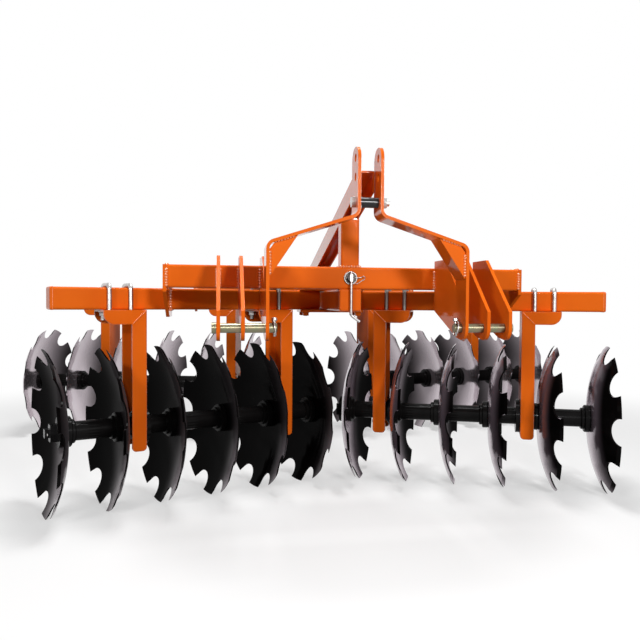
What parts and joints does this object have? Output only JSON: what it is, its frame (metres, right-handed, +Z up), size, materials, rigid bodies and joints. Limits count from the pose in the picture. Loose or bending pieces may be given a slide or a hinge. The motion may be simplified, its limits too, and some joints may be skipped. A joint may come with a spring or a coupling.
{
  "type": "disc harrow",
  "caption": "Lift-type tandem disc harrow: notched dished discs on angled gangs under a square-tube frame with a three-point mast.",
  "frame": {"origin": "on the floor, at the centre of the machine's length and width", "axes": "+X to the right seen from the hitch, +Y from the hitch to the rear, +Z up"},
  "size_m": [2.9644, 2.2191, 1.1909],
  "materials": {
    "orange_paint": "gloss",
    "disc_steel": "gloss",
    "black_iron": "satin",
    "black_steel": "satin",
    "bright_zinc": "satin",
    "yellow_zinc": "satin"
  },
  "bodies": {
    "frame": {"upper_cross_tube": "orange_paint", "rear_cross_tube": "orange_paint", "centre_beam": "orange_paint", "end_plates_front": "orange_paint", "end_plates_rear": "orange_paint", "joint_plates": "orange_paint", "mast_gussets": "orange_paint", "mast_post": "orange_paint", "rear_brace": "orange_paint", "gang_beam_front_left": "orange_paint", "hangers_front_left": "orange_paint", "bearings_front_left": "orange_paint", "beam_clamps_front_left": "bright_zinc", "gang_beam_front_right": "orange_paint", "hangers_front_right": "orange_paint", "bearings_front_right": "orange_paint", "beam_clamps_front_right": "bright_zinc", "gang_beam_rear_left": "orange_paint", "hangers_rear_left": "orange_paint", "bearings_rear_left": "orange_paint", "beam_clamps_rear_left": "bright_zinc", "gang_beam_rear_right": "orange_paint", "hangers_rear_right": "orange_paint", "bearings_rear_right": "orange_paint", "beam_clamps_rear_right": "bright_zinc", "hitch_plates_left": "orange_paint", "mast_leg_left": "orange_paint", "hitch_pin_left": "yellow_zinc", "hitch_plates_right": "orange_paint", "mast_leg_right": "orange_paint", "hitch_pin_right": "yellow_zinc", "quick_hitch_bolt": "bright_zinc", "quick_hitch_bushing": "black_steel", "lock_pin": "bright_zinc"},
    "front_left_gang": {"discs_front_left": "disc_steel", "spools_front_left": "black_iron", "axle_front_left": "black_steel"},
    "front_right_gang": {"discs_front_right": "disc_steel", "spools_front_right": "black_iron", "axle_front_right": "black_steel"},
    "rear_left_gang": {"discs_rear_left": "disc_steel", "spools_rear_left": "black_iron", "axle_rear_left": "black_steel"},
    "rear_right_gang": {"discs_rear_right": "disc_steel", "spools_rear_right": "black_iron", "axle_rear_right": "black_steel"}
  },
  "joints": [
    {"name": "front_left_gang_spin", "type": "hinge", "parent": "frame", "child": "front_left_gang", "pos_m": [-0.50995, -0.52763, 0.2794], "axis": [-0.9272, -0.3746, 0], "continuous": true},
    {"name": "front_right_gang_spin", "type": "hinge", "parent": "frame", "child": "front_right_gang", "pos_m": [0.50995, -0.52763, 0.2794], "axis": [0.9272, -0.3746, 0], "continuous": true},
    {"name": "rear_left_gang_spin", "type": "hinge", "parent": "frame", "child": "rear_left_gang", "pos_m": [-0.53366, 0.63146, 0.2794], "axis": [-0.9703, 0.2419, 0], "continuous": true},
    {"name": "rear_right_gang_spin", "type": "hinge", "parent": "frame", "child": "rear_right_gang", "pos_m": [0.53366, 0.63146, 0.2794], "axis": [0.9703, 0.2419, 0], "continuous": true}
  ]
}
